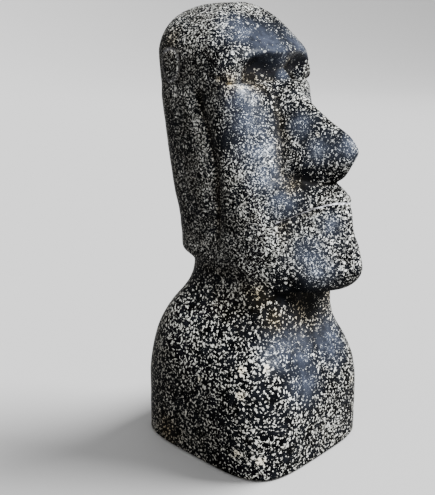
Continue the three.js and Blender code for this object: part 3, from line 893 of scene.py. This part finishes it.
# %% Colours and gloss
DEEP_BLACK, SOFT_BLACK = (0.0006, 0.0006, 0.0007, 1), (0.0035, 0.0038, 0.0048, 1)
PAINTED_SHEEN_BLACK, DUSTY_BLACK = (0.026, 0.03, 0.042, 1), (0.03, 0.024, 0.014, 1)
THIN_CREAM, THICK_CREAM = (0.36, 0.345, 0.31, 1), (0.55, 0.535, 0.49, 1)
TORSO_CREAM, PAINTED_SHEEN_CREAM = (0.33, 0.315, 0.275, 1), (0.54, 0.58, 0.64, 1)
BLOT_CREAM, OCHRE = (0.6, 0.53, 0.4, 1), (0.42, 0.31, 0.15, 1)
PALE_INK_AND_HIGHLIGHT = (0.62, 0.6, 0.62, 1)

speckle = painted.noise(place, 9.0, 2.0)
earth = ((stains * 0.8 + hollows * 0.3) * (drifts + 0.2)).kept()
black = painted.mix(speckle.rise(0.35, 0.7), DEEP_BLACK, SOFT_BLACK)
# Painted sheen: the black of the polished places turns blue-grey, a painted sky reflection.
black = painted.mix((polished_and_sheen * 0.8).kept(), black, PAINTED_SHEEN_BLACK)
black = painted.mix((earth * 0.3).kept(), black, DUSTY_BLACK)
cream = painted.mix(speckle.rise(0.3, 0.7), THIN_CREAM, THICK_CREAM)
cream = painted.mix(coarser * 0.6, cream, TORSO_CREAM)
# Painted sheen on the cream of the polished places as well.
cream = painted.mix((polished_and_sheen * 0.9).kept(), cream, PAINTED_SHEEN_CREAM)
cream = painted.mix(blot * 0.8, cream, BLOT_CREAM)
cream = painted.mix(earth, cream, OCHRE)
colour = painted.mix(cream_cover, black, cream)
# Pale band: cream in the cuts, and a painted highlight along the upper lip's edge.
colour = painted.mix(ink_and_highlight * 0.9, colour, PALE_INK_AND_HIGHLIGHT)

gloss = 0.42 - polished_and_sheen * 0.12 + cream_cover * 0.22
relief = cream_cover * 0.7 + dust * 0.5 + crumbs * 0.4
bump = painted.add("ShaderNodeBump", {}, {"Strength": 0.55, "Distance": 0.00035, "Height": relief})
shine = painted.add("ShaderNodeBsdfPrincipled", {}, {
    "Base Color": colour, "Roughness": gloss.kept(), "Normal": bump, "Specular IOR Level": 0.01,
    "Coat Weight": (polished_and_sheen * 0.2).kept(), "Coat Roughness": 0.35,
})
painted.add("ShaderNodeOutputMaterial", {}, {"Surface": shine})
statue.data.materials.append(painted.material)
print("nodes in the paint:", len(painted.tree.nodes))

# %% [markdown]
# ## The floor
#
# The statue stands on a plain white sheet. A sheet that hangs behind it would show its
# edge from the side, so this one curves up far off all round, like a wide shallow bowl. It
# isn't let throw soft light back at the wood, because that would light the undersides.

# %% Floor
FLOOR_RADIUS = 6.0
FLOOR_CURVE = 2.4


def bowl(name, radius, rings, spokes):
    """Rings of points around the origin, joined by quads, with a fan in the middle. Flat
    out to half the radius, and from there a parabola that curves up all round."""
    reach = np.linspace(0, 1, rings + 1)[1:] ** 1.3 * radius
    rise = np.maximum(reach - radius / 2, 0) ** 2 / radius * FLOOR_CURVE
    angle = np.arange(spokes) * 2 * np.pi / spokes
    sides = [np.outer(reach, np.cos(angle)), np.outer(reach, np.sin(angle))]
    points = np.stack([*sides, np.outer(rise, np.ones(spokes))], axis=-1).reshape(-1, 3)
    number = np.arange(rings * spokes).reshape(rings, spokes)
    beside = np.roll(number, -1, axis=1)
    quads = [number[:-1], number[1:], beside[1:], beside[:-1]]
    quads = np.stack(quads, axis=-1).reshape(-1, 4)
    fan = np.stack([np.full(spokes, rings * spokes), number[0], beside[0]], axis=-1)
    return smooth_piece(name, np.concatenate([points, [[0, 0, 0]]]), quads, fan)


floor = bowl("floor", FLOOR_RADIUS, 40, 96)
sheet = Paint("white_sheet")
sheet_shine = sheet.add("ShaderNodeBsdfPrincipled", {}, {
    "Base Color": (0.82, 0.82, 0.82, 1), "Roughness": 0.9, "Specular IOR Level": 0.1,
})
sheet.add("ShaderNodeOutputMaterial", {}, {"Surface": sheet_shine})
floor.data.materials.append(sheet.material)
floor.visible_diffuse = False
print("floor radius in metres:", FLOOR_RADIUS)

# %% [markdown]
# ## The lights
#
# Light like a bright sky falls steeply on the face. A soft lamp high in front lights only
# the statue, and leaves the sockets and the side of the head dark. A wide sun from the
# other side lights only the sheet, on which the statue still casts its faint shadow. An
# even white world fills in the rest.

# %% Lights
def turned_to(spot, aim):
    """The place at spot, turned so that its -Z looks at aim and its X stays level."""
    away = np.array(spot, float) - np.array(aim, float)
    away /= np.linalg.norm(away)
    right = np.cross([0, 0, 1], away)
    right /= np.linalg.norm(right)
    turned = np.eye(4)
    turned[:3] = np.stack([right, np.cross(away, right), away, spot], axis=-1)
    return Matrix(turned.tolist())


def placed(name, thing, spot, aim):
    """An object at spot that holds this lamp or camera and looks at aim."""
    piece = bpy.data.objects.new(name, thing)
    piece.matrix_world = turned_to(spot, aim)
    bpy.context.scene.collection.objects.link(piece)
    return piece


def light_only(lamp_piece, piece):
    """The lamp lights this piece alone. Everything still casts a shadow."""
    lit = bpy.data.collections.new("lit_by_" + lamp_piece.name)
    lit.objects.link(piece)
    lamp_piece.light_linking.receiver_collection = lit


lamp = bpy.data.lights.new("key_lamp", "AREA")
lamp.shape, lamp.size, lamp.energy, lamp.color = "SQUARE", 0.36, 112, (0.92, 0.96, 1.0)
light_only(placed("key_lamp", lamp, (-0.04, -0.88, 0.97), (0, 0, 0.2)), statue)

sun = bpy.data.lights.new("sheet_light", "SUN")
sun.energy, sun.angle = 5.8, math.radians(30)
light_only(placed("sheet_light", sun, (0.57, -0.32, 0.76), (0, 0, 0)), floor)

world = bpy.data.worlds.new("even_light")
world.use_nodes = True
sky = world.node_tree.nodes["Background"].inputs
sky["Color"].default_value = (1, 1, 1, 1)
sky["Strength"].default_value = 0.42
bpy.context.scene.world = world

# %% [markdown]
# ## The camera
#
# The picture is a close view from a little above the brow, down past the figure's right
# cheek. A tracking constraint could aim the camera, but a fixed turn is simpler to repeat:
# its place is given by how far it stands back, to the side and up, and its lens by the
# focal length in picture points over the picture's height.

# %% Camera
AZIMUTH = math.radians(-45.9)
PITCH = math.radians(16.2)
STAND_BACK, STAND_ASIDE, STAND_HEIGHT = 0.502, -0.0252, 0.283
FOCAL_POINTS, PICTURE_POINTS = 752, 495

back = np.array([math.sin(AZIMUTH), -math.cos(AZIMUTH), 0])
aside = np.array([math.cos(AZIMUTH), math.sin(AZIMUTH), 0])
stand = back * STAND_BACK + aside * STAND_ASIDE + np.array([0, 0, STAND_HEIGHT])
look = -back * math.cos(PITCH) - np.array([0, 0, math.sin(PITCH)])
eye = bpy.data.cameras.new("eye")
eye.lens = FOCAL_POINTS / PICTURE_POINTS * eye.sensor_width
eye.clip_start = 0.01
bpy.context.scene.camera = placed("eye", eye, stand, stand + look)
print("camera stands at", np.round(stand, 3), "with a lens of", round(eye.lens, 1), "mm")
